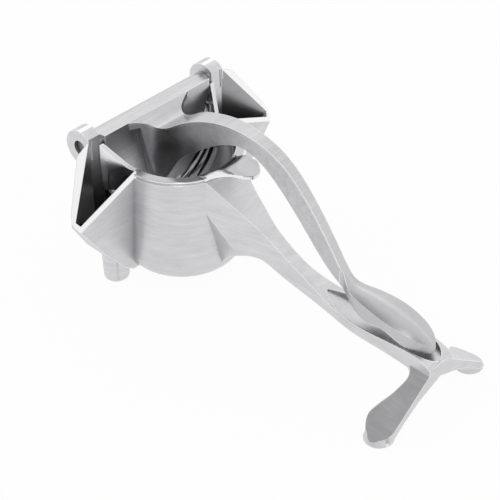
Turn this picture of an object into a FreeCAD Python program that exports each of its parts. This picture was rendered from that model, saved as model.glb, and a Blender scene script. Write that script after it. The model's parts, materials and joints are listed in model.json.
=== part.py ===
import FreeCAD, Part
import math
import os

V = FreeCAD.Vector

# Handheld citrus squeezer, millimetres. X runs from the hinge to the foot, Y along the hinge pin, Z up.
# The sizes are measured from the bowl's axis (x = 0, y = 0) and the table (z = 0). At the end all pieces
# are shifted along X so that the origin lies under the middle of the overall length.

# Hinge
HINGE_X = -26.4
HINGE_Z = 106.5
LUG_RADIUS = 11.9
LUG_OUTER_Y = 58.0
LUG_THICKNESS = 9.8
LUG_INNER_Y = LUG_OUTER_Y - LUG_THICKNESS
LUG_FACE_X = -18.5
LUG_GROOVE_Y = 55.6
LUG_GROOVE_WIDTH = 0.9
LUG_GROOVE_DEPTH = 0.5
COUNTERBORE_RADIUS = 5.1
COUNTERBORE_DEPTH = 4.6
PIN_RADIUS = 3.5
PIN_RUNNING_CLEARANCE = 0.05
PIN_HEAD_RADIUS = 4.8
PIN_HEAD_HEIGHT = 2.2
SIDE_PLAY = 0.3

# Bowl of the body
BOWL_RADIUS = 41.2
BOWL_BASE_RADIUS = 39.6
BOWL_WALL = 2.8
BOWL_FLOOR_Z = 12.3
BOWL_FLOOR = 3.2
BOWL_EDGE_RADIUS = 14.0
BOWL_INNER_CHAMFER = 6.0
RIM_Z = 89.3
BACK_OUTER_X = -30.4
BACK_INNER_X = -27.3
BACK_TOP_Z = 97.7
PEG_X = -22.9
PEG_Y = 39.2
PEG_TOP_RADIUS = 9.2
PEG_BOTTOM_RADIUS = 8.2
PEG_HEIGHT = 30.0
PEG_EDGE_RADIUS = 3.0
PEG_EDGE_FLATS = 3

# Spouts
SPOUT_FRONT_X = 1.9
SPOUT_LEAN = 0.098
SPOUT_TAPER = 0.9
SPOUT_WALL = 2.0
SPOUT_TIP_WALL = 2.4
SPOUT_TIP_Y = 86.6
SPOUT_TIP_Z = 72.3
SPOUT_TIP_REAR_X = -6.5
SPOUT_CORNER_RADIUS = 3.6
LIP_REAR_Y = 57.1
LIP_REAR_Z = 114.6
ABOVE_ALL = 130.0

# Handle and foot
HANDLE_END_X = 207.8
FOOT_PAD_X = 198.1
FOOT_PAD_Y = 42.9
FOOT_PAD_RADIUS = 9.2
FOOT_PAD_CHAMFER = 0.9
FOOT_LEG_TOP_RADIUS = 7.4
FOOT_LEG_TOP_Y = 39.5
FOOT_LEG_TOP_Z = 8.0

# Strainer
CUP_RADIUS = 38.0
CUP_WALL = 3.0
CUP_CENTRE_Z = 83.3
CUP_OUTER_FLATS = 4
CUP_INNER_FLATS = 8
CUP_FLARE_X = -1.5
CUP_CORNER_DEPTH = 39.6
CUP_CORNER_X = -18.1
CUP_CORNER_Y = 49.8
CUP_CORNER_TOP_Z = 108.2
CUP_REAR_Y = 47.6
CUP_REAR_X = -26.3
CUP_REAR_DEPTH = 39.0
CUP_BACK_WALL = 2.3
CHANNEL_WALL = 2.6
CUP_BACK_TOP_Z = 93.5
FLANGE_RADIUS = 40.4
FLANGE_THICKNESS = 2.2
FLANGE_START_X = 2.3
FLANGE_UNDERCUT = 0.8
TAB_END_X = 57.5
TAB_HALF_WIDTH = 10.0
TAB_SCOOP_RADIUS = 60.0
TAB_SCOOP_DEPTH = 0.9
SLOT_TOP_Z = 74.8
SLOT_NEAR_Y = 19.0
SLOT_FAR_Y = 50.0
SLOT_HALF_WIDTH = 0.5
RECESS_DEPTH = 0.8

# Lever
BARREL_RADIUS = 6.5
PLATE_FRONT_X = -17.6
PLATE_REAR_X = -22.4
PLATE_TOP_Z = 112.8
PLATE_SHOULDER_Z = 104.1
PLATE_HALF_WIDTH = 45.3
ARM_TOP_STRIP = 1.8
ARM_WEB_INSET = 0.5
GRIP_SHELL = 2.4

OVERALL_REAR_X = HINGE_X - LUG_RADIUS
FRAME_SHIFT = -(OVERALL_REAR_X + HANDLE_END_X) / 2


def spline(points):
    curve = Part.BSplineCurve()
    curve.interpolate([V(*p) for p in points])
    return curve.toShape()


def outline(points):
    """Straight edges through the points, closed, as a face."""
    corners = [V(*p) for p in points]
    return Part.Face(Part.makePolygon(corners + corners[:1]))


def side_profile(top, bottom, half_span):
    """A side view outline between two curves of (x, z), given its width along Y."""
    upper = spline([(x, -half_span, z) for x, z in top])
    lower = spline([(x, -half_span, z) for x, z in bottom])
    first = Part.makeLine(V(bottom[0][0], -half_span, bottom[0][1]), V(top[0][0], -half_span, top[0][1]))
    last = Part.makeLine(V(top[-1][0], -half_span, top[-1][1]), V(bottom[-1][0], -half_span, bottom[-1][1]))
    return Part.Face(Part.Wire([first, upper, last, lower])).extrude(V(0, 2 * half_span, 0))


def plan_outline(half_widths, low, high):
    """A top view outline, mirrored about y = 0, from a curve of (x, half width)."""
    left = spline([(x, w, low) for x, w in half_widths])
    right = spline([(x, -w, low) for x, w in half_widths])
    x0, w0 = half_widths[0]
    x1, w1 = half_widths[-1]
    rear = Part.makeLine(V(x0, -w0, low), V(x0, w0, low))
    front = Part.makeLine(V(x1, w1, low), V(x1, -w1, low))
    return Part.Face(Part.Wire([rear, left, front, right])).extrude(V(0, 0, high - low))


def both_sides(shape):
    return [shape, shape.mirror(V(0, 0, 0), V(0, 1, 0))]


def edges_where(shape, test):
    return [e for e in shape.Edges if test(e)]


def cup_profile(base_radius, top_radius, low, high, edge_radius, flats=0):
    """Half the section of a round cup, in the x = 0 plane. Its bottom edge is an arc, or has that many flats."""
    lean = math.atan2(top_radius - base_radius, high - low)
    run = edge_radius * math.tan((math.pi / 2 - lean) / 2)
    hub = V(0, base_radius - run, low + edge_radius)

    def on_edge(share):
        angle = (math.pi / 2 - lean) * share
        return hub + V(0, math.sin(angle), -math.cos(angle)) * edge_radius

    start, end = on_edge(0), on_edge(1)
    edge = Part.Arc(start, on_edge(0.5), end).toShape()
    if flats:
        edge = Part.makePolygon([on_edge(i / flats) for i in range(flats + 1)])
    rest = Part.makePolygon([end, V(0, top_radius, high), V(0, 0, high), V(0, 0, low), start])
    return Part.Face(Part.Wire([edge, rest]))


def bowl_solid(base_radius, top_radius, low, high, back_x, edge_radius, flats=0):
    """Round front, flat back: the outside or the inside of the bowl."""
    half = cup_profile(base_radius, top_radius, low, high, edge_radius, flats)
    front = half.revolve(V(0, 0, 0), V(0, 0, 1), -180)
    rear = half.extrude(V(back_x, 0, 0))
    return front.fuse(both_sides(rear))


def peg():
    solid = cup_profile(PEG_BOTTOM_RADIUS, PEG_TOP_RADIUS, 0, PEG_HEIGHT, PEG_EDGE_RADIUS, PEG_EDGE_FLATS)
    solid = solid.revolve(V(0, 0, 0), V(0, 0, 1), 360)
    solid.translate(V(PEG_X, PEG_Y, 0))
    return solid


def hopper(plan, keel, top_z):
    """One spout: a plan outline cut below by the keel line in the (y, z) view."""
    column = outline([(x, y, 0) for x, y in plan]).extrude(V(0, 0, top_z))
    side = outline([(-60, y, z) for y, z in keel]).extrude(V(120, 0, 0))
    return column.common(side)


def ahead_of_spout(inset):
    """The space in front of the spout's front wall, which leans back towards its foot."""
    face_x = SPOUT_FRONT_X - inset + SPOUT_LEAN * (ABOVE_ALL - RIM_Z)
    edge = [(face_x, 20), (face_x, 42), (face_x - SPOUT_TAPER, 100), (60, 100), (60, 20)]
    return outline([(x, y, ABOVE_ALL) for x, y in edge]).extrude(V(-SPOUT_LEAN, 0, -1) * ABOVE_ALL)


def spout_outside():
    plan = [(20, 20), (20, SPOUT_TIP_Y), (SPOUT_TIP_REAR_X, SPOUT_TIP_Y), (BACK_OUTER_X, LUG_INNER_Y),
            (BACK_OUTER_X, 20)]
    keel = [(20, BOWL_FLOOR_Z + 3), (40, BOWL_FLOOR_Z + 3), (48, 21.3), (64, 40.8), (85, 70.8), (90, 80.3),
            (90, ABOVE_ALL), (20, ABOVE_ALL)]
    body = hopper(plan, keel, ABOVE_ALL).cut(ahead_of_spout(0))
    corners = edges_where(body, lambda e: abs(e.Vertexes[0].Z - e.Vertexes[-1].Z) > 5
                          and min(e.Vertexes[0].Y, e.Vertexes[-1].Y) > SPOUT_TIP_Y - 0.01)
    body = body.makeFillet(SPOUT_CORNER_RADIUS, corners)
    # The sloping plane through both lips and the rim cuts the spout open
    rim_point = V(SPOUT_FRONT_X, 40, RIM_Z)
    across = V(-2.3, 84, SPOUT_TIP_Z) - rim_point
    normal = across.cross(V(LUG_FACE_X, LIP_REAR_Y, LIP_REAR_Z) - rim_point)
    normal.normalize()
    lip_cut = Part.makeBox(400, 400, 200, V(-200, -200, 0))
    lip_cut.Placement = FreeCAD.Placement(rim_point, FreeCAD.Rotation(V(0, 0, 1), normal))
    # The rear wall stops at the round top of the lug
    above = Part.makeBox(60, 60, 60, V(LUG_FACE_X - 60, 20, HINGE_Z))
    return body.cut(lip_cut).cut(above)


def spout_inside():
    tip_y = SPOUT_TIP_Y - SPOUT_TIP_WALL
    plan = [(20, 20), (20, tip_y), (SPOUT_TIP_REAR_X + 1.9, tip_y), (LUG_FACE_X, LIP_REAR_Y),
            (LUG_FACE_X, LUG_INNER_Y), (BACK_INNER_X, LUG_INNER_Y), (BACK_INNER_X, 20)]
    keel = [(20, BOWL_FLOOR_Z + 3.2), (38, BOWL_FLOOR_Z + 4), (46, 24.3), (62, 43.3), (82.5, 72.8), (90, 84.3),
            (90, ABOVE_ALL), (20, ABOVE_ALL)]
    return hopper(plan, keel, ABOVE_ALL + 1).cut(ahead_of_spout(SPOUT_WALL))


def body_casting():
    solid = bowl_solid(BOWL_BASE_RADIUS, BOWL_RADIUS, BOWL_FLOOR_Z, RIM_Z, BACK_OUTER_X, BOWL_EDGE_RADIUS)
    lug = Part.makeCylinder(LUG_RADIUS, LUG_THICKNESS, V(HINGE_X, LUG_INNER_Y, HINGE_Z), V(0, 1, 0))
    lug = lug.common(Part.makeBox(100, 200, 200, V(LUG_FACE_X - 100, 0, 0)))
    for piece in (spout_outside(), lug, peg()):
        solid = solid.fuse(both_sides(piece))
    # The back wall stands above the rim, up to just below the lever's barrel
    wall_foot = 60.0
    solid = solid.fuse(Part.makeBox(BACK_INNER_X - BACK_OUTER_X, 2 * LUG_INNER_Y, BACK_TOP_Z - wall_foot,
                                    V(BACK_OUTER_X, -LUG_INNER_Y, wall_foot)))

    floor_z = BOWL_FLOOR_Z + BOWL_FLOOR
    inner_base = BOWL_BASE_RADIUS - BOWL_WALL
    slope = (BOWL_RADIUS - BOWL_BASE_RADIUS) / (RIM_Z - floor_z)
    inside = bowl_solid(inner_base, inner_base + slope * (ABOVE_ALL - floor_z), floor_z, ABOVE_ALL, BACK_INNER_X,
                        BOWL_INNER_CHAMFER, 1)
    solid = solid.cut(inside.fuse(both_sides(spout_inside())))
    window = Part.makeBox(40, 2 * LUG_INNER_Y, 40, V(BACK_INNER_X - 40, -LUG_INNER_Y, BACK_TOP_Z))
    solid = solid.cut(window)

    solid = solid.cut(Part.makeCylinder(PIN_RADIUS, 200, V(HINGE_X, -100, HINGE_Z), V(0, 1, 0)))
    for s in (-1, 1):
        start = V(HINGE_X, s * (LUG_OUTER_Y - COUNTERBORE_DEPTH), HINGE_Z)
        solid = solid.cut(Part.makeCylinder(COUNTERBORE_RADIUS, 20, start, V(0, s, 0)))
    groove = Part.makeBox(4, LUG_GROOVE_WIDTH, 13, V(LUG_FACE_X - LUG_GROOVE_DEPTH, LUG_GROOVE_Y, HINGE_Z - 5.5))
    return solid.cut(both_sides(groove)).fuse(handle()).removeSplitter()


def handle():
    """The handle under the lever, from the bowl to the splayed foot, all one casting with the body."""
    top = [(36.5, 90.9), (56.3, 76.1), (74.2, 64.5), (98, 51), (114, 45), (131.9, 40.8), (149.9, 38.9),
           (169.9, 39.4), (189.9, 40.3), (200.9, 38.8), (HANDLE_END_X, 34.7)]
    bottom = [(35.6, 14.9), (41.7, 26.8), (48.8, 34.7), (56.9, 40.1), (65.9, 43.5), (73.9, 43.6), (81.9, 41.1),
              (97.8, 36.5), (131.8, 34), (149.8, 32), (171.8, 31.1), (189.8, 29.4), (HANDLE_END_X, 25.7)]
    widths = [(35.6, 17), (44, 14), (56, 10.2), (66, 7.9), (74, 5.9), (86, 4.9), (98, 4.7), (106, 5.1),
              (122, 7.2), (140, 9.8), (160, 10.8), (HANDLE_END_X, 10.6)]
    bar = side_profile(top, bottom, 30).common(plan_outline(widths, 0, 120))
    bar = bar.cut(Part.makeBox(20, 80, 20, V(30, -40, RIM_Z)))
    # The root narrows towards the arch underneath
    root = outline([(30, 3, 15.3), (30, 9.5, 40.3), (30, 22.5, 90.3), (30, 40, 90.3), (30, 40, 15.3)])
    bar = bar.cut(both_sides(root.extrude(V(30, 0, 0))))
    bar = bar.fuse(foot())
    bar = bar.cut(Part.makeCylinder(BOWL_RADIUS - 1.5, 120, V(0, 0, 0)))
    # Spoon shaped pocket that takes the grip
    rim_line = [(122, 0.6), (127, 4), (136, 8), (148, 9.4), (165, 9.8), (185, 9.8), (197, 8.6), (203.5, 5),
                (206, 0.6)]
    floor = [(119.9, 42.8), (129.9, 38.5), (149.8, 35.8), (179.8, 36), (199.9, 36), (209.9, 35.9)]
    ceiling = [(119.9, 54), (165, 54), (209.9, 54)]
    return bar.cut(side_profile(ceiling, floor, 20).common(plan_outline(rim_line, 25, 65)))


def foot():
    """Two legs that slope down from the handle's end to round pads on the table."""
    upper = [(0, 36.2), (6.4, 34.7), (11, 31.4), (18.6, 25.9), (26.5, 20.2), (34, 14.8), (43.9, 7.7), (48.9, 4)]
    lower = [(45.5, 0), (41.7, 3), (34.9, 8.4), (26.4, 14.1), (17.7, 19), (8.7, 22.3), (0, 25.5)]
    beyond = [(56, -1.3)]
    start_x = 180
    span = V(HANDLE_END_X - start_x, 0, 0)
    arch = outline([(start_x, y, z) for y, z in upper + [(48.9, 0)] + lower]).extrude(span)
    under_upper = outline([(start_x, y, z) for y, z in upper + beyond + [(0, -1.3)]]).extrude(span)
    # The underside rises to the handle's underside
    rise = [(start_x, 0, 13), (199, 0, 24.8), (184, 0, 31.6), (start_x, 0, 31.6)]
    arch = arch.cut(outline(rise).extrude(V(0, 13, 0)))
    edge = [(HANDLE_END_X, 38), (207.2, 43.2), (204.5, 46.9), (200.3, 48.8), (196.5, 48.8), (193.6, 47.9),
            (191.1, 46.3), (188.6, 43), (187.5, 39.1), (188.7, 35.2), (190.9, 30.9), (192.9, 27.3), (195.2, 21.3),
            (196.3, 15.8), (194.4, 11.7), (190.5, 9.6), (186, 9)]
    rim = spline([(x, y, 0) for x, y in edge])
    corners = [V(186, 9, 0), V(186, 0, 0), V(HANDLE_END_X, 0, 0), V(HANDLE_END_X, 38, 0)]
    plan = Part.Face(Part.Wire([rim, Part.makePolygon(corners)])).extrude(V(0, 0, 60))
    rings = [(FOOT_PAD_RADIUS - FOOT_PAD_CHAMFER, FOOT_PAD_Y, 0),
             (FOOT_PAD_RADIUS, FOOT_PAD_Y - 0.3, FOOT_PAD_CHAMFER),
             (FOOT_LEG_TOP_RADIUS, FOOT_LEG_TOP_Y, FOOT_LEG_TOP_Z)]
    circles = [Part.Wire(Part.makeCircle(r, V(FOOT_PAD_X, y, z))) for r, y, z in rings]
    pad = Part.makeLoft(circles, True, True).common(under_upper)
    sides = both_sides(arch.common(plan).fuse(pad))
    return sides[0].fuse(sides[1])


def round_bottom(x, half_width, depth, angles):
    """Points (x, y, z) below the cup's centre, on half an ellipse, at the given angles from +Y downwards."""
    return [V(x, half_width * math.cos(a), CUP_CENTRE_Z - depth * math.sin(a)) for a in angles]


def u_section(x, half_width, depth, top_z, flats):
    """A closed U across the strainer: straight sides and a round bottom in short flats."""
    angles = [math.pi * i / (2 * flats) for i in range(2 * flats + 1)]
    bottom = round_bottom(x, half_width, depth, angles)
    top = [V(x, -half_width, top_z), V(x, half_width, top_z)]
    return Part.makePolygon(bottom + top + bottom[:1])


def cup_solid(inset, flats):
    """The strainer's outside, or its inside when inset by the wall: round bottom in front, flared at the rear."""
    radius = CUP_RADIUS - inset
    angles = [math.pi / 2 * i / flats for i in range(flats + 1)]
    quarter = round_bottom(0, radius, radius, angles)
    rest = [V(0, 0, ABOVE_ALL), V(0, radius, ABOVE_ALL)]
    half = Part.Face(Part.makePolygon(quarter + rest + quarter[:1]))
    front = half.revolve(V(0, 0, 0), V(0, 0, 1), -180)
    start = u_section(CUP_FLARE_X, radius, radius, ABOVE_ALL, flats)
    middle = Part.Face(start).extrude(V(-CUP_FLARE_X, 0, 0))
    corner = u_section(CUP_CORNER_X, CUP_CORNER_Y - inset * 1.1, CUP_CORNER_DEPTH - inset, ABOVE_ALL, flats)
    return front.fuse([middle, Part.makeLoft([start, corner], True, True)])


def strainer():
    rim_top = RIM_Z + FLANGE_THICKNESS
    solid = cup_solid(0, CUP_OUTER_FLATS)

    # Rear channel behind the press plate, closed by a low back wall
    rear = Part.Face(u_section(CUP_REAR_X, CUP_REAR_Y, CUP_REAR_DEPTH, CUP_BACK_TOP_Z, CUP_OUTER_FLATS))
    solid = solid.fuse(rear.extrude(V(CUP_CORNER_X - CUP_REAR_X, 0, 0)))
    inner_x = CUP_REAR_X + CUP_BACK_WALL
    channel = Part.Face(u_section(inner_x, CUP_REAR_Y - CHANNEL_WALL, CUP_REAR_DEPTH - CHANNEL_WALL, ABOVE_ALL,
                                  CUP_INNER_FLATS))
    channel = channel.extrude(V(CUP_CORNER_X - inner_x + 0.01, 0, 0))
    solid = solid.cut(cup_solid(CUP_WALL, CUP_INNER_FLATS)).cut(channel)

    # The rim rises towards the hinge in a long S
    rise = [(44, rim_top), (20, rim_top), (0.5, rim_top), (-2, 91.7), (-4.8, 93.7), (-10.2, 98.8), (-15.6, 105.1),
            (CUP_CORNER_X, CUP_CORNER_TOP_Z)]
    corners = [V(CUP_CORNER_X, -60, CUP_CORNER_TOP_Z), V(CUP_CORNER_X, -60, ABOVE_ALL + 5), V(44, -60, ABOVE_ALL + 5),
               V(44, -60, rim_top)]
    rise_wire = Part.Wire([spline([(x, -60, z) for x, z in rise]), Part.makePolygon(corners)])
    solid = solid.cut(Part.Face(rise_wire).extrude(V(0, 120, 0)))

    # Flange on the body's rim, with a finger tab in front
    inner = CUP_RADIUS - CUP_WALL
    section = outline([(inner, 0, RIM_Z), (FLANGE_RADIUS - FLANGE_UNDERCUT, 0, RIM_Z),
                       (FLANGE_RADIUS, 0, RIM_Z + FLANGE_UNDERCUT), (FLANGE_RADIUS, 0, rim_top), (inner, 0, rim_top)])
    flange = section.revolve(V(0, 0, 0), V(0, 0, 1), 360)
    tab_widths = [(37, 12.6), (42, 11), (48, TAB_HALF_WIDTH), (TAB_END_X, TAB_HALF_WIDTH - 0.8)]
    flange = flange.fuse(plan_outline(tab_widths, RIM_Z, rim_top))
    scoop_start = V(50, -TAB_HALF_WIDTH - 5, rim_top + TAB_SCOOP_RADIUS - TAB_SCOOP_DEPTH)
    flange = flange.cut(Part.makeCylinder(TAB_SCOOP_RADIUS, 2 * TAB_HALF_WIDTH + 10, scoop_start, V(0, 1, 0)))
    solid = solid.fuse(flange.common(Part.makeBox(100, 200, 20, V(FLANGE_START_X, -100, RIM_Z - 10))))

    # Wedge slots that let the juice into the spouts
    below = CUP_CENTRE_Z - 50
    for x, growth in ((-8.2, 0.14), (-15.2, 0.09)):
        far = SLOT_HALF_WIDTH + growth * (SLOT_FAR_Y - SLOT_NEAR_Y)
        wedge = outline([(x - SLOT_HALF_WIDTH, SLOT_NEAR_Y, below), (x + SLOT_HALF_WIDTH, SLOT_NEAR_Y, below),
                         (x + far, SLOT_FAR_Y, below), (x - far, SLOT_FAR_Y, below)])
        solid = solid.cut(both_sides(wedge.extrude(V(0, 0, SLOT_TOP_Z - below))))

    # Shallow recess in the outside of each flared wall
    skin = cup_solid(0, CUP_OUTER_FLATS).cut(cup_solid(RECESS_DEPTH, CUP_OUTER_FLATS))
    edge = [(-16.4, 55.5), (-15.2, 79.5), (-14.7, 88.5), (-13.1, 90.7), (-10.5, 90.4), (-2.7, 87)]
    corners = [V(-2.7, -60, 87), V(-2.7, -60, 55.5), V(-16.4, -60, 55.5)]
    field = Part.Face(Part.Wire([spline([(x, -60, z) for x, z in edge]), Part.makePolygon(corners)]))
    return solid.cut(skin.common(field.extrude(V(0, 120, 0)))).removeSplitter()


def lever_arm():
    """The fin in front of the plate and the long bowed arm, its top strip a little wider than its web."""
    top = [(-20, 112.6), (-16.7, 112.2), (-11.8, 108.9), (-8.6, 107.3), (-5.4, 107.4), (9.3, 115.5), (26.5, 123.6),
           (46, 128), (66, 127.1), (85.9, 120.5), (105.7, 103.8), (125.4, 78.7), (136.2, 62.9)]
    bottom = [(-20, 49.6), (-9.8, 62.4), (2.7, 80.1), (9.5, 90.4), (15.6, 95.6), (29.7, 105.9), (44.8, 114.5),
              (57.9, 117.2), (65.8, 115.5), (85.7, 101.8), (105.4, 81.2), (125.1, 60.5), (136.1, 52.9)]
    widths = [(-20, 31.5), (-16.9, 24), (-13.8, 17.4), (-11.8, 14.1), (-8.6, 11.9), (-5.4, 10.9), (5.1, 9.8),
              (21.9, 7.2), (45.7, 5.5), (85.7, 3.9), (136.3, 3.1)]
    profile = side_profile(top, bottom, 35)
    strip = profile.cut(side_profile([(x, z - ARM_TOP_STRIP) for x, z in top], bottom, 36))
    web_widths = [(x, w - ARM_WEB_INSET) for x, w in widths]
    arm = profile.common(plan_outline(web_widths, 40, 150)).fuse(strip.common(plan_outline(widths, 40, 150)))
    # The fin narrows downwards
    beside = outline([(-25, 8.5, 47.5), (-25, 18.6, 107.5), (-25, 40, 107.5), (-25, 40, 47.5)])
    return arm.cut(both_sides(beside.extrude(V(40, 0, 0))))


def grip_section(x, half_width, crease_z, crown, skirt_z):
    """Across the grip: flat skirts up to the crease and a low dome between the creases."""
    dome = Part.Arc(V(x, -half_width, crease_z), V(x, 0, crease_z + crown), V(x, half_width, crease_z)).toShape()
    sides = Part.makePolygon([V(x, half_width, crease_z), V(x, half_width, skirt_z), V(x, -half_width, skirt_z),
                              V(x, -half_width, crease_z)])
    return Part.Wire([dome, sides])


def grip():
    rows = [(133.2, 3.1, 67, 0.2, 54.8), (138.2, 3.7, 60.5, 0.5, 52), (141.6, 5.2, 57, 1.1, 50.4),
            (150.1, 8, 55, 2.4, 46), (160.1, 9.9, 54.5, 3, 44.5), (172.5, 11, 53, 3.2, 46.9), (182, 10.3, 51.4, 3, 43.4),
            (190, 8.8, 49.5, 2.6, 40.9), (196, 6.6, 47.2, 2, 40.8), (202.4, 0.8, 43.3, 0.4, 40.7)]
    outer = Part.makeLoft([grip_section(*row) for row in rows], True, False)
    # The underside is hollow between the skirts
    inside = [(x, w - GRIP_SHELL, z - GRIP_SHELL * 0.6, crown * 0.8, skirt - 6)
              for x, w, z, crown, skirt in rows[3:9]]
    hollow = Part.makeLoft([grip_section(*row) for row in inside], True, True)
    return outer.cut(hollow)


def press_lever():
    barrel_end = LUG_INNER_Y - SIDE_PLAY
    solid = Part.makeCylinder(BARREL_RADIUS, 2 * barrel_end, V(HINGE_X, -barrel_end, HINGE_Z), V(0, 1, 0))
    slab = Part.makeBox(PLATE_FRONT_X - HINGE_X, 2 * PLATE_HALF_WIDTH, PLATE_TOP_Z - PLATE_SHOULDER_Z,
                        V(HINGE_X, -PLATE_HALF_WIDTH, PLATE_SHOULDER_Z))
    half = [(PLATE_HALF_WIDTH, PLATE_SHOULDER_Z), (41.6, 95.6), (38.9, 87.6), (34.2, 77.6), (31.8, 67.6),
            (25.6, 57.6), (12, 49.8)]
    curve = half + [(0, 47.6)] + [(-y, z) for y, z in half[::-1]]
    lower = spline([(PLATE_REAR_X, y, z) for y, z in curve])
    ends = [(-PLATE_HALF_WIDTH, PLATE_SHOULDER_Z), (-PLATE_HALF_WIDTH, PLATE_TOP_Z), (PLATE_HALF_WIDTH, PLATE_TOP_Z),
            (PLATE_HALF_WIDTH, PLATE_SHOULDER_Z)]
    closing = Part.makePolygon([V(PLATE_REAR_X, y, z) for y, z in ends])
    plate = Part.Face(Part.Wire([lower, closing])).extrude(V(PLATE_FRONT_X - PLATE_REAR_X, 0, 0))
    solid = solid.fuse([slab, plate, lever_arm(), grip()])
    bore = Part.makeCylinder(PIN_RADIUS + PIN_RUNNING_CLEARANCE, 200, V(HINGE_X, -100, HINGE_Z), V(0, 1, 0))
    return solid.cut(bore).removeSplitter()


def hinge_pin():
    shank_end = LUG_OUTER_Y - COUNTERBORE_DEPTH
    solid = Part.makeCylinder(PIN_RADIUS, 2 * shank_end, V(HINGE_X, -shank_end, HINGE_Z), V(0, 1, 0))
    for s in (-1, 1):
        start = V(HINGE_X, s * shank_end, HINGE_Z)
        solid = solid.fuse(Part.makeCylinder(PIN_HEAD_RADIUS, PIN_HEAD_HEIGHT, start, V(0, s, 0)))
    return solid.removeSplitter()


if __name__ == "__main__":
    os.makedirs("parts", exist_ok=True)
    for make in (body_casting, strainer, press_lever, hinge_pin):
        name = make.__name__
        shape = make()
        shape.translate(V(FRAME_SHIFT, 0, 0))
        shape.exportStep("parts/" + name + ".step")
        print(name, "solids", len(shape.Solids), "volume", round(shape.Volume / 1000, 2), "valid", shape.isValid())
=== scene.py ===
import json
import math

import bmesh
import bpy
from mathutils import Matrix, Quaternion, Vector


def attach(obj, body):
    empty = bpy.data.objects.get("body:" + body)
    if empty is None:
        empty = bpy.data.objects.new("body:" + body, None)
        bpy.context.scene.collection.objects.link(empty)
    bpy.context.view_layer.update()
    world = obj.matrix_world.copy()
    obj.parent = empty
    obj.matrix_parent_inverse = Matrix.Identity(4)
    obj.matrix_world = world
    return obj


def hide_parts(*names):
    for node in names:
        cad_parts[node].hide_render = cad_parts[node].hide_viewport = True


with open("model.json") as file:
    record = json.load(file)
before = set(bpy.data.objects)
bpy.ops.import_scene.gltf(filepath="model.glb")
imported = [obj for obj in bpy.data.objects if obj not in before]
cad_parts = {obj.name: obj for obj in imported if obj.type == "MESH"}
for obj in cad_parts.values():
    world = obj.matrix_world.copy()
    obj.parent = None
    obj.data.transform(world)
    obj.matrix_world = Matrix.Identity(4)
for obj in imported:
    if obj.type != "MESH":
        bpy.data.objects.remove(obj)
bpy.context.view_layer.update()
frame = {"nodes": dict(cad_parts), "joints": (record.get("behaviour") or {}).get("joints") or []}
nodes = frame["nodes"]

# Camera: a short telephoto view from the side of the spouts, a little above the lever,
# with the slight roll of the photograph.
camera_place = Vector((0.51014, -0.56990, 0.63246))
camera_aim = Vector((-0.0172, -0.0093, 0.0500))
camera_roll = -0.01166
camera_data = bpy.data.cameras.new("camera")
camera_data.sensor_fit = "HORIZONTAL"
camera_data.sensor_width = 36.0
camera_data.lens = 113.97
camera = bpy.data.objects.new("camera", camera_data)
bpy.context.scene.collection.objects.link(camera)
camera.location = camera_place
look = (camera_aim - camera_place).to_track_quat("-Z", "Y")
camera.rotation_euler = (look @ Quaternion((0, 0, 1), camera_roll)).to_euler()
bpy.context.scene.camera = camera


# Body casting: bowl, spouts, pegs, handle and foot in one aluminium casting, brushed and tumbled to a satin
# skin. The rim and the spouts' lips are ground flat and shine. Painted shade darkens the hollows, creases
# and the spouts' back walls, and painted highlights run along the outer edges.
def add_node(tree, kind, **settings):
    node = tree.nodes.new(kind)
    for name, value in settings.items():
        setattr(node, name, value)
    return node


def set_socket(tree, socket, value):
    """Links another node's output to the socket, or gives it a plain value."""
    if isinstance(value, bpy.types.NodeSocket):
        tree.links.new(value, socket)
    else:
        socket.default_value = value


def feed(tree, node, **values):
    """Sets a node's inputs by name, with _ for a space."""
    for name, value in values.items():
        set_socket(tree, node.inputs[name.replace("_", " ")], value)


def new_group(name, inputs, outputs):
    """A shader node group: inputs are (name, type, default), outputs (name, type)."""
    group = bpy.data.node_groups.new(name, "ShaderNodeTree")
    for label, kind, default in inputs:
        socket = group.interface.new_socket(label, in_out="INPUT", socket_type="NodeSocket" + kind)
        socket.default_value = default
    for label, kind in outputs:
        group.interface.new_socket(label, in_out="OUTPUT", socket_type="NodeSocket" + kind)
    return group, group.nodes.new("NodeGroupInput"), group.nodes.new("NodeGroupOutput")


def place_group(tree, group, **values):
    node = add_node(tree, "ShaderNodeGroup", node_tree=group)
    feed(tree, node, **values)
    return node.outputs


def arithmetic(tree, operation, first, second=0.0, third=0.0, clamp=False):
    node = add_node(tree, "ShaderNodeMath", operation=operation, use_clamp=clamp)
    for socket, value in zip(node.inputs, (first, second, third)):
        set_socket(tree, socket, value)
    return node.outputs[0]


def times_plus(tree, value, factor, offset, clamp=False):
    return arithmetic(tree, "MULTIPLY_ADD", value, factor, offset, clamp)


def larger(tree, first, second):
    return arithmetic(tree, "MAXIMUM", first, second)


def times(tree, first, second):
    return arithmetic(tree, "MULTIPLY", first, second)


def ramp_between(tree, value, low, high):
    """0 at low, 1 at high, eased in between."""
    node = add_node(tree, "ShaderNodeMapRange", interpolation_type="SMOOTHSTEP")
    feed(tree, node, Value=value, From_Min=low, From_Max=high)
    return node.outputs["Result"]


def mix_colours(tree, share, first, second):
    """The first colour at share 0 and the second at share 1."""
    node = add_node(tree, "ShaderNodeMix", data_type="RGBA")
    sockets = (node.inputs[0], node.inputs[6], node.inputs[7])
    for socket, value in zip(sockets, (share, first, second)):
        set_socket(tree, socket, value)
    return node.outputs[2]


def object_place(tree):
    return add_node(tree, "ShaderNodeTexCoord").outputs["Object"]


def object_normal(tree):
    return add_node(tree, "ShaderNodeTexCoord").outputs["Normal"]


def noise(tree, vector, scale, detail, roughness):
    node = add_node(tree, "ShaderNodeTexNoise")
    feed(tree, node, Vector=vector, Scale=scale, Detail=detail, Roughness=roughness)
    return node.outputs["Fac"]


def split_axes(tree, vector):
    node = add_node(tree, "ShaderNodeSeparateXYZ")
    tree.links.new(vector, node.inputs[0])
    return node.outputs


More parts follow.
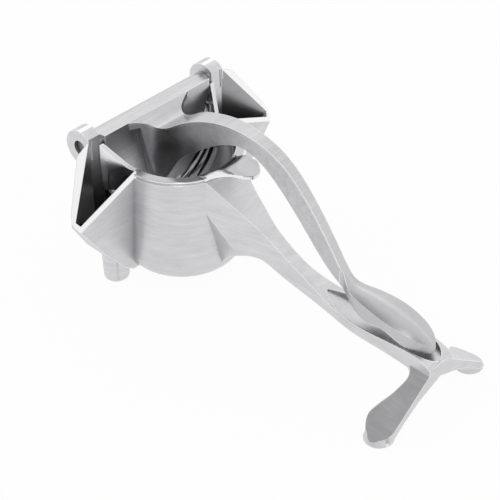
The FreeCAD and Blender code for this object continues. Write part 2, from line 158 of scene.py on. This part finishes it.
def cast_skin_group():
    """Fine grain of a tumbled casting, with cloudy patches, shallow pits and its roughness."""
    inputs = [("Grain", "Float", 1400.0), ("Clouds", "Float", 45.0), ("Roughness", "Float", 0.36)]
    outputs = [("Tone", "Float"), ("Height", "Float"), ("Roughness", "Float")]
    tree, given, result = new_group("cast skin", inputs, outputs)
    place = object_place(tree)
    grain = noise(tree, place, given.outputs["Grain"], 3.0, 0.6)
    clouds = noise(tree, place, given.outputs["Clouds"], 4.0, 0.55)
    pits = add_node(tree, "ShaderNodeTexVoronoi")
    feed(tree, pits, Vector=place, Scale=520.0)
    pit = ramp_between(tree, pits.outputs["Distance"], 0.16, 0.02)
    tone = times_plus(tree, grain, 0.5, -0.25)
    tone = times_plus(tree, clouds, 0.9, tone)
    tone = times_plus(tree, pit, -0.25, tone)
    height = times_plus(tree, pit, -0.35, grain)
    rough = times_plus(tree, clouds, 0.16, -0.08)
    rough = arithmetic(tree, "ADD", rough, given.outputs["Roughness"])
    feed(tree, result, Tone=tone, Height=height, Roughness=rough)
    return tree


def brushed_group():
    """Short parallel scratches, drawn out along the axes with a small factor in Stretch."""
    inputs = [("Stretch", "Vector", (1, 1, 1)), ("Lines", "Float", 900.0), ("Bands", "Float", 140.0)]
    tree, given, result = new_group("brushed lines", inputs, [("Height", "Float"), ("Streak", "Float")])
    stretched = add_node(tree, "ShaderNodeVectorMath", operation="MULTIPLY")
    tree.links.new(object_place(tree), stretched.inputs[0])
    tree.links.new(given.outputs["Stretch"], stretched.inputs[1])
    fine = noise(tree, stretched.outputs[0], given.outputs["Lines"], 3.0, 0.6)
    broad = noise(tree, stretched.outputs[0], given.outputs["Bands"], 2.0, 0.5)
    streak = times_plus(tree, fine, 0.9, times_plus(tree, broad, 0.9, -0.4))
    feed(tree, result, Height=fine, Streak=streak)
    return tree


def facing_group():
    """1 where the surface faces a given direction, the same on the left and right side."""
    inputs = [("Direction", "Vector", (0, 0, 1)), ("Low", "Float", 0.9), ("High", "Float", 0.98)]
    tree, given, result = new_group("facing", inputs, [("Mask", "Float")])
    parts = split_axes(tree, object_normal(tree))
    folded = add_node(tree, "ShaderNodeCombineXYZ")
    feed(tree, folded, X=parts["X"], Y=arithmetic(tree, "ABSOLUTE", parts["Y"]), Z=parts["Z"])
    dot = add_node(tree, "ShaderNodeVectorMath", operation="DOT_PRODUCT")
    tree.links.new(folded.outputs[0], dot.inputs[0])
    tree.links.new(given.outputs["Direction"], dot.inputs[1])
    mask = ramp_between(tree, dot.outputs["Value"], given.outputs["Low"], given.outputs["High"])
    feed(tree, result, Mask=mask)
    return tree


def edge_highlight_group():
    """1 along the outer edges, where a painted highlight stands for rounded edges catching the light."""
    inputs = [("Width", "Float", 0.0007)]
    tree, given, result = new_group("painted edge highlights", inputs, [("Mask", "Float")])
    inward = add_node(tree, "ShaderNodeAmbientOcclusion", inside=True, only_local=True, samples=8)
    feed(tree, inward, Distance=given.outputs["Width"])
    feed(tree, result, Mask=ramp_between(tree, inward.outputs["AO"], 0.88, 0.62))
    return tree


def hollow_group():
    """1 in a hollow or crease that is narrower than Reach, where painted shade darkens the metal."""
    inputs = [("Reach", "Float", 0.03)]
    tree, given, result = new_group("hollows", inputs, [("Mask", "Float")])
    around = add_node(tree, "ShaderNodeAmbientOcclusion", only_local=True, samples=8)
    feed(tree, around, Distance=given.outputs["Reach"])
    feed(tree, result, Mask=ramp_between(tree, around.outputs["AO"], 0.70, 0.35))
    return tree


cast_skin = cast_skin_group()
brushed = brushed_group()
facing = facing_group()
painted_edge_highlights = edge_highlight_group()
hollows = hollow_group()
# White of the ground faces, and of the painted highlights on edges and on the lever's top strip.
ground_and_highlight_white = (0.92, 0.92, 0.92, 1)
edge_rounding = 0.0004
casting_bump = 0.14


def new_metal(name):
    """An empty metal material: its tree and its Principled shader."""
    metal = bpy.data.materials.new(name)
    metal.use_nodes = True
    shader = metal.node_tree.nodes["Principled BSDF"]
    shader.inputs["Metallic"].default_value = 1.0
    return metal, metal.node_tree, shader


def relief(tree, height, strength, distance=0.0003):
    """A bump over slightly rounded edges."""
    rounded = add_node(tree, "ShaderNodeBevel", samples=4)
    feed(tree, rounded, Radius=edge_rounding)
    bump = add_node(tree, "ShaderNodeBump")
    feed(tree, bump, Height=height, Strength=strength, Distance=distance, Normal=rounded.outputs["Normal"])
    return bump.outputs["Normal"]


def dress(piece, metal):
    """Gives a piece or a CAD node its finish."""
    mesh = piece.data
    for index in range(max(1, len(mesh.materials))):
        if index < len(mesh.materials):
            mesh.materials[index] = metal
        else:
            mesh.materials.append(metal)


cast_light = (0.76, 0.76, 0.775, 1)
cast_dark = (0.58, 0.58, 0.595, 1)
# Grey of the painted shade in the body's hollows, creases and spout back walls.
painted_shade_grey = (0.24, 0.24, 0.25, 1)
hollow_shade_strength = 0.66
spout_back_shade_strength = 0.62
body_streaks = 0.9
body_tone_shift = -0.45
body_line_height = 0.6
ground_smoothing = -0.12
edge_width = 0.0007
crease_reach = 0.0016
hollow_reach = 0.03
lip_direction = (0.832, 0.269, 0.486)
rim_level = 0.0880
spout_back_direction = (0.874, 0.485, 0.0)
spout_starts_aside = 0.043
body_metal, tree, shader = new_metal("satin cast aluminium")
skin = place_group(tree, cast_skin, Grain=1300.0, Clouds=40.0, Roughness=0.36)
lines = place_group(tree, brushed, Stretch=(0.12, 0.12, 1.0), Lines=900.0, Bands=320.0)
lips = place_group(tree, facing, Direction=lip_direction, Low=0.985, High=0.995)["Mask"]
level = place_group(tree, facing, Direction=(0, 0, 1), Low=0.985, High=0.995)["Mask"]
at_rim = ramp_between(tree, split_axes(tree, object_place(tree))["Z"], rim_level, rim_level + 0.0005)
ground = larger(tree, lips, times(tree, level, at_rim))
# Painted highlight along the outer edges, where rounded edges catch the light, joins the ground faces.
bright = larger(tree, ground, place_group(tree, painted_edge_highlights, Width=edge_width)["Mask"])
shifted = arithmetic(tree, "ADD", skin["Tone"], body_tone_shift)
tone = times_plus(tree, lines["Streak"], body_streaks, shifted, clamp=True)
# Painted shade in the body's deep hollows.
hollow_shade = times(tree, place_group(tree, hollows, Reach=hollow_reach)["Mask"], hollow_shade_strength)
# Painted shade in the body's narrow creases.
creases = place_group(tree, hollows, Reach=crease_reach)["Mask"]
# Painted shade on the spouts' back walls, where the spouts' front walls shade them.
spout_back_shade = place_group(tree, facing, Direction=spout_back_direction, Low=0.97, High=0.99)["Mask"]
aside = arithmetic(tree, "ABSOLUTE", split_axes(tree, object_place(tree))["Y"])
in_spouts = ramp_between(tree, aside, spout_starts_aside, spout_starts_aside + 0.003)
spout_back_shade = times(tree, times(tree, spout_back_shade, in_spouts), spout_back_shade_strength)
# Painted shade: the largest of the hollow, crease and spout-back shade masks.
painted_shade = larger(tree, larger(tree, hollow_shade, creases), spout_back_shade)
colour = mix_colours(tree, painted_shade, mix_colours(tree, tone, cast_dark, cast_light), painted_shade_grey)
colour = mix_colours(tree, bright, colour, ground_and_highlight_white)
rough = times_plus(tree, ground, ground_smoothing, skin["Roughness"])
height = times_plus(tree, lines["Height"], body_line_height, skin["Height"])
feed(tree, shader, Base_Color=colour, Roughness=rough, Normal=relief(tree, height, casting_bump))
dress(nodes["body_casting"], body_metal)

# Strainer: a thin cast cup with wedge slots on both sides, polished bright inside. Its duller flange lies
# loose on the body's rim, and a scooped thumb tab stands up in front to lift it by. Its form is in
# millimetres.
mm = 0.001
hinge = frame["joints"][0]["pos_m"]
hinge_to_cup_axis = 26.4
cup_axis_x = hinge[0] + hinge_to_cup_axis * mm
cup_radius = 38.0
cup_wall = 3.0
cup_centre_z = 83.3
rim_z = 89.3
rim_top = 91.5
flange_radius = 40.4
flare_x = -1.5
corner_x = -18.1
corner_half_width = 49.8
corner_depth = 39.6
corner_wall_share = 1.1
channel_rear_x = -26.3
channel_half_width = 47.6
channel_depth = 39.0
channel_top = 93.5
channel_wall = 2.6
above_all = 125.0


def rings_object(name, rings):
    """A closed solid through rings of points, in millimetres from the cup's axis."""
    shell = bmesh.new()
    rows = []
    for ring in rings:
        rows.append([shell.verts.new((x * mm + cup_axis_x, y * mm, z * mm)) for x, y, z in ring])
    count = len(rows[0])
    for near, far in zip(rows, rows[1:]):
        for i in range(count):
            j = (i + 1) % count
            shell.faces.new((near[i], near[j], far[j], far[i]))
    shell.faces.new(rows[0][::-1])
    shell.faces.new(rows[-1])
    bmesh.ops.recalc_face_normals(shell, faces=shell.faces)
    mesh = bpy.data.meshes.new(name)
    shell.to_mesh(mesh)
    shell.free()
    piece = bpy.data.objects.new(name, mesh)
    bpy.context.scene.collection.objects.link(piece)
    return piece


def combine(piece, operation, tool):
    """Adds a tool to a piece or cuts it away, and uses the tool up."""
    step = piece.modifiers.new(operation.lower(), "BOOLEAN")
    step.operation = operation
    step.object = tool
    step.solver = "EXACT"
    bpy.context.view_layer.update()
    evaluated = piece.evaluated_get(bpy.context.evaluated_depsgraph_get())
    result = bpy.data.meshes.new_from_object(evaluated)
    piece.modifiers.clear()
    piece.data = result
    bpy.data.objects.remove(tool)


def u_ring(x, half_width, depth, top, steps=24):
    """Across the cup: straight sides over a half ellipse."""
    turns = [math.pi * i / (2 * steps) for i in range(2 * steps + 1)]
    bottom = [(x, half_width * math.cos(a), cup_centre_z - depth * math.sin(a)) for a in turns]
    return [(x, half_width, top)] + bottom + [(x, -half_width, top)]


def cup_form(name, inset):
    """The cup's outside, or its inside when inset: round in front and flared towards the spouts behind."""
    radius = cup_radius - inset
    corner_half = corner_half_width - corner_wall_share * inset
    rings = [u_ring(corner_x, corner_half, corner_depth - inset, above_all)]
    rings.append(u_ring(flare_x, radius, radius, above_all))
    for degrees in [*range(0, 86, 5), 88.5]:
        turn = math.radians(degrees)
        across = radius * math.cos(turn)
        rings.append(u_ring(radius * math.sin(turn), across, across, above_all))
    return rings_object(name, rings)


def channel_form(name, rear_x, front_x, inset, top):
    """The straight channel behind the cup, next to the hinge."""
    size = (channel_half_width - inset, channel_depth - inset, top)
    return rings_object(name, [u_ring(rear_x, *size), u_ring(front_x, *size)])


def across_y(name, outline, half_span=60.0):
    """A prism along Y through an outline of (x, z)."""
    return rings_object(name, [[(x, y, z) for x, z in outline] for y in (-half_span, half_span)])


# A shallow field on the outside of each flared wall.
field = [(-16.4, 56.0), (-15.2, 79.5), (-14.7, 87.5), (-14.0, 89.6), (-12.4, 90.6),
         (-10.0, 90.2), (-6.2, 88.9), (-3.6, 87.6), (-2.7, 86.2), (-2.7, 56.0)]
field_depth = 0.8
rear_wall = 2.3
strainer = cup_form("strainer_cup", 0.0)
field_tool = across_y("field", field)
combine(field_tool, "DIFFERENCE", cup_form("field_floor", field_depth))
combine(strainer, "DIFFERENCE", field_tool)
channel = channel_form("channel", channel_rear_x, corner_x + 2.0, 0.0, channel_top)
combine(strainer, "UNION", channel)
combine(strainer, "DIFFERENCE", cup_form("cup_inside", cup_wall))
hollow_rear_x = channel_rear_x + rear_wall
channel_inside = channel_form("channel_inside", hollow_rear_x, corner_x + 1.0, channel_wall, above_all)
combine(strainer, "DIFFERENCE", channel_inside)

# The rim runs level in front and climbs towards the hinge in a long S.
climb_start_x = -3.4
climb_slope = 1.14
climb_bend = 0.9
climb_rear_x = corner_x - 0.02
climb_front_x = 45.0
climb_length = 22.0
climb_steps = 24


def rim_height(x):
    run = (climb_start_x - x) / climb_bend
    return rim_top + climb_slope * climb_bend * math.log1p(math.exp(run))


stations = [climb_rear_x + climb_length * i / climb_steps for i in range(climb_steps + 1)]
stations.append(climb_front_x)
over_rim = [(x, rim_height(x)) for x in stations]
over_rim += [(climb_front_x, above_all + 5), (climb_rear_x, above_all + 5)]
combine(strainer, "DIFFERENCE", across_y("over_rim", over_rim))

# The flange is a ring with a thin edge that leaves a dark gap over the body's rim.
flange_root_radius = cup_radius - 1.6
flange_seat_radius = 39.0
flange_lip = 1.1
flange_rounding = 0.25
flange_section = [(flange_root_radius, rim_z), (flange_seat_radius, rim_z),
                  (flange_radius, rim_top - flange_lip), (flange_radius, rim_top - flange_rounding),
                  (flange_radius - flange_rounding, rim_top), (flange_root_radius, rim_top)]
flange_end_x = 2.3
flange_start = math.asin(flange_end_x / flange_radius)
flange_steps = 72
flange_rings = []
for i in range(flange_steps + 1):
    turn = flange_start + (math.pi - 2 * flange_start) * i / flange_steps
    flange_rings.append([(r * math.sin(turn), r * math.cos(turn), z) for r, z in flange_section])
combine(strainer, "UNION", rings_object("flange", flange_rings))

# The front of the flange swells up and out into the thumb tab, a scooped tongue.
tab_rise = 9.5
tab_root_x = 47.5
tab_tip_x = 65.0
tab_corner_cut = 11.0
tab_corner_power = 2.2
tab_half_width = 11.5
tab_foot_half_width = 16.0
tab_blend = 2.0
tab_overlap = 0.05
tab_thickness = 2.0
tab_scoop = 1.8
tab_tip_lift = 0.3
tab_tip_rounding = 0.35
tab_base_z = rim_top + 0.02
tab_steps = 40


def ease(share):
    return share * share * (3 - 2 * share)


def tab_ring(y):
    """The tab's section at y: share is 0 where it runs out into the flange and 1 along the tongue."""
    across = abs(y) / tab_half_width
    share = (tab_foot_half_width - abs(y)) / (tab_foot_half_width - tab_half_width + tab_blend)
    share = ease(min(1.0, max(0.0, share)))
    inner = math.sqrt((cup_radius - cup_wall + tab_overlap) ** 2 - y * y)
    flange_edge = math.sqrt((flange_radius - tab_overlap) ** 2 - y * y)
    tongue_end = tab_tip_x - tab_corner_cut * min(1.3, across) ** tab_corner_power
    root_x = (inner + flange_edge) / 2 * (1 - share) + tab_root_x * share
    tip_x = flange_edge * (1 - share) + tongue_end * share
    raised = tab_base_z + tab_rise * share - tab_scoop * share * (1 - min(1.0, across) ** 2)
    top = []
    for part in (0, 0.25, 0.5, 0.75, 1):
        top.append((inner + (root_x - inner) * part, tab_base_z + (raised - tab_base_z) * ease(part)))
    for part in (0.25, 0.5, 0.75, 0.97):
        top.append((root_x + (tip_x - root_x) * part, raised + tab_tip_lift * part * share))
    top.append((tip_x, raised + tab_tip_lift * share - tab_tip_rounding))
    lower = [(x, z - tab_thickness) for x, z in top[::-1]]
    return [(x, y, z) for x, z in top + lower]


tab_rings = []
for i in range(tab_steps + 1):
    tab_rings.append(tab_ring(-tab_foot_half_width + 2 * tab_foot_half_width * i / tab_steps))
combine(strainer, "UNION", rings_object("tab", tab_rings))

# Wedge slots, two on each side, let the juice into the spouts and widen outwards.
slot_bottom = 30.0
slot_top = 74.8
slot_inner_y = 19.0
slot_outer_y = 55.0
slot_half_width = 0.5
for slot_x, growth in ((-8.2, 0.14), (-15.2, 0.09)):
    outer_half_width = slot_half_width + growth * (slot_outer_y - slot_inner_y)
    for side in (-1, 1):
        inner_y = slot_inner_y * side
        outer_y = slot_outer_y * side
        plan = [(slot_x - slot_half_width, inner_y), (slot_x + slot_half_width, inner_y),
                (slot_x + outer_half_width, outer_y), (slot_x - outer_half_width, outer_y)]
        slot = rings_object("slot", [[(x, y, z) for x, y in plan] for z in (slot_bottom, slot_top)])
        combine(strainer, "DIFFERENCE", slot)

strainer.data.polygons.foreach_set("use_smooth", [True] * len(strainer.data.polygons))
strainer.data.set_sharp_from_angle(angle=math.radians(32))

strainer_light = (0.92, 0.92, 0.93, 1)
strainer_dark = (0.76, 0.76, 0.775, 1)
flange_grey = (0.50, 0.50, 0.51, 1)
rim_grey_starts_z = 0.0900
rim_grey_full_z = 0.0912
cup_edge_width = 0.0006
strainer_metal, tree, shader = new_metal("polished strainer aluminium")
skin = place_group(tree, cast_skin, Grain=900.0, Clouds=30.0, Roughness=0.15)
upper = place_group(tree, facing, Direction=(0, 0, 1), Low=0.55, High=0.80)["Mask"]
height_now = split_axes(tree, object_place(tree))["Z"]
above_rim = ramp_between(tree, height_now, rim_grey_starts_z, rim_grey_full_z)
colour = mix_colours(tree, skin["Tone"], strainer_dark, strainer_light)
colour = mix_colours(tree, times(tree, upper, above_rim), colour, flange_grey)
# Painted highlight along the cup's outer edges, where rounded edges catch the light.
edges = place_group(tree, painted_edge_highlights, Width=cup_edge_width)["Mask"]
colour = mix_colours(tree, edges, colour, ground_and_highlight_white)
normal = relief(tree, skin["Height"], 0.07)
feed(tree, shader, Base_Color=colour, Roughness=skin["Roughness"], Normal=normal)
dress(strainer, strainer_metal)
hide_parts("strainer")
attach(strainer, "base")

# Hinge pin: a plain steel pin pressed through both lugs, its ends peened over in the counterbores. The
# lever's barrel turns on it.
pin_metal, tree, shader = new_metal("pin steel")
pin_light = (0.36, 0.36, 0.37, 1)
pin_dark = (0.20, 0.20, 0.21, 1)
skin = place_group(tree, cast_skin, Grain=2500.0, Clouds=200.0, Roughness=0.40)
colour = mix_colours(tree, skin["Tone"], pin_dark, pin_light)
feed(tree, shader, Base_Color=colour, Roughness=skin["Roughness"], Normal=relief(tree, skin["Height"], 0.2))
dress(nodes["hinge_pin"], pin_metal)

# Press lever: barrel, press plate, fin, bowed arm and hollow grip in one casting. Brushing lines run across
# it as far as the grip. Painted light makes its top strip a little brighter, painted shade darkens its
# creases, and painted highlights run along its edges.
lever_light = (0.64, 0.64, 0.65, 1)
lever_dark = (0.46, 0.46, 0.475, 1)
# Dark grey of the painted shade in the lever's creases.
crease_shade_dark = (0.10, 0.10, 0.105, 1)
# How much painted light brightens the upward-facing top strip.
top_strip_painted_light = 0.12
top_strip_smoothing = -0.08
lever_streaks = 1.1
lever_line_height = 0.9
brushed_until_x = 0.025
smooth_from_x = 0.055
lever_metal, tree, shader = new_metal("brushed lever aluminium")
skin = place_group(tree, cast_skin, Grain=1300.0, Clouds=60.0, Roughness=0.32)
lines = place_group(tree, brushed, Stretch=(1.0, 0.05, 1.0), Lines=600.0, Bands=220.0)
parts = split_axes(tree, object_normal(tree))
upward = ramp_between(tree, parts["Z"], 0.25, 0.45)
not_sideways = ramp_between(tree, arithmetic(tree, "ABSOLUTE", parts["Y"]), 0.10, 0.04)
top_strip = times(tree, upward, not_sideways)
# Painted highlight along the lever's outer edges, where rounded edges catch the light.
edges = place_group(tree, painted_edge_highlights, Width=edge_width)["Mask"]
# Painted light on the top strip, and painted highlight along the edges.
bright = larger(tree, times(tree, top_strip, top_strip_painted_light), edges)
along = split_axes(tree, object_place(tree))["X"]
off_grip = ramp_between(tree, along, smooth_from_x, brushed_until_x)
streak = times_plus(tree, lines["Streak"], lever_streaks, -lever_streaks / 2)
streak = times(tree, streak, off_grip)
tone = arithmetic(tree, "ADD", skin["Tone"], streak, clamp=True)
colour = mix_colours(tree, bright, mix_colours(tree, tone, lever_dark, lever_light), ground_and_highlight_white)
# Painted shade in the lever's narrow creases.
colour = mix_colours(tree, place_group(tree, hollows, Reach=crease_reach)["Mask"], colour, crease_shade_dark)
rough = times_plus(tree, top_strip, top_strip_smoothing, skin["Roughness"])
height = times_plus(tree, times(tree, lines["Height"], off_grip), lever_line_height, skin["Height"])
feed(tree, shader, Base_Color=colour, Roughness=rough, Normal=relief(tree, height, casting_bump))
dress(nodes["press_lever"], lever_metal)

# Table and studio: a plain white top that keeps a faint shadow, and white surroundings whose mirror image
# is darker up in front. A large soft lamp stands behind the lever, and a strip lamp high in front.
reach = 6.0
table_glow = 0.94
floor_mesh = bpy.data.meshes.new("table_top")
corners = [(-reach, -reach, 0), (reach, -reach, 0), (reach, reach, 0), (-reach, reach, 0)]
floor_mesh.from_pydata(corners, [], [(0, 1, 2, 3)])
floor = bpy.data.objects.new("table_top", floor_mesh)
bpy.context.scene.collection.objects.link(floor)
floor_paint = bpy.data.materials.new("white table")
floor_paint.use_nodes = True
tree = floor_paint.node_tree
paint = tree.nodes["Principled BSDF"]
feed(tree, paint, Base_Color=(0.97, 0.97, 0.97, 1), Roughness=0.9, Specular_IOR_Level=0.0)
path = add_node(tree, "ShaderNodeLightPath")
seen = larger(tree, path.outputs["Is Camera Ray"], path.outputs["Is Transmission Ray"])
seen = larger(tree, seen, path.outputs["Is Glossy Ray"])
glow = add_node(tree, "ShaderNodeEmission")
feed(tree, glow, Color=(1, 1, 1, 1), Strength=1.0)
blend = add_node(tree, "ShaderNodeMixShader")
tree.links.new(times(tree, seen, table_glow), blend.inputs[0])
tree.links.new(paint.outputs[0], blend.inputs[1])
tree.links.new(glow.outputs[0], blend.inputs[2])
tree.links.new(blend.outputs[0], tree.nodes["Material Output"].inputs["Surface"])
floor_mesh.materials.append(floor_paint)

studio = bpy.data.worlds.new("white studio")
bpy.context.scene.world = studio
studio.use_nodes = True
sky = studio.node_tree
ambient = 0.80
front_darkening = -0.62
path = add_node(sky, "ShaderNodeLightPath")
seen = larger(sky, path.outputs["Is Camera Ray"], path.outputs["Is Transmission Ray"])
direction = split_axes(sky, add_node(sky, "ShaderNodeTexCoord").outputs["Generated"])
front = ramp_between(sky, direction["Y"], 0.25, -0.45)
high = ramp_between(sky, direction["Z"], 0.25, 0.75)
mirrored = times_plus(sky, times(sky, front, high), front_darkening, 1.0)
over_ambient = arithmetic(sky, "SUBTRACT", mirrored, ambient)
level = times_plus(sky, path.outputs["Is Glossy Ray"], over_ambient, ambient)
feed(sky, sky.nodes["Background"], Color=(1, 1, 1, 1), Strength=larger(sky, level, seen))


def soft_lamp(name, width, height, watts, place, aim):
    data = bpy.data.lights.new(name, "AREA")
    data.shape = "RECTANGLE"
    data.size = width
    data.size_y = height
    data.energy = watts
    lamp = bpy.data.objects.new(name, data)
    bpy.context.scene.collection.objects.link(lamp)
    lamp.location = place
    lamp.rotation_euler = (Vector(aim) - lamp.location).to_track_quat("-Z", "Y").to_euler()


soft_lamp("back_lamp", width=1.2, height=0.8, watts=0.5, place=(-0.9, 1.0, 1.1), aim=(0, 0, 0.05))
soft_lamp("strip_lamp", width=0.25, height=0.9, watts=1.6, place=(0.45, -0.62, 1.30), aim=(-0.085, 0, 0.06))

# The plain view transform.
bpy.context.scene.view_settings.view_transform = "Standard"
